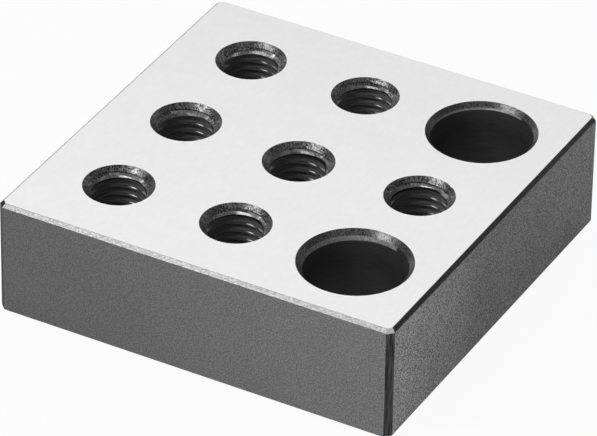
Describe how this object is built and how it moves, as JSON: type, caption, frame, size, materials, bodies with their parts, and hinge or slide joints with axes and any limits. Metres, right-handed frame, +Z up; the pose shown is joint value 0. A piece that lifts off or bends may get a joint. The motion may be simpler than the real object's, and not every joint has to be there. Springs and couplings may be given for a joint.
{
  "type": "machined mounting block",
  "caption": "Square machined steel block with ground faces, a grid of countersunk tapped holes and larger plain bores near the corners of one side, for mounting and clamping.",
  "frame": {"origin": "middle of the underside", "axes": "+Z up, +X along the front edge to the right, with the two plain bores on the +X side; the front faces -Y"},
  "size_m": [0.083, 0.083, 0.024],
  "materials": {
    "blackened_steel": "black oxide over fine machining marks, with the flat faces ground bright afterwards"
  },
  "bodies": {
    "root": {"mounting_block": "blackened_steel"}
  },
  "joints": []
}
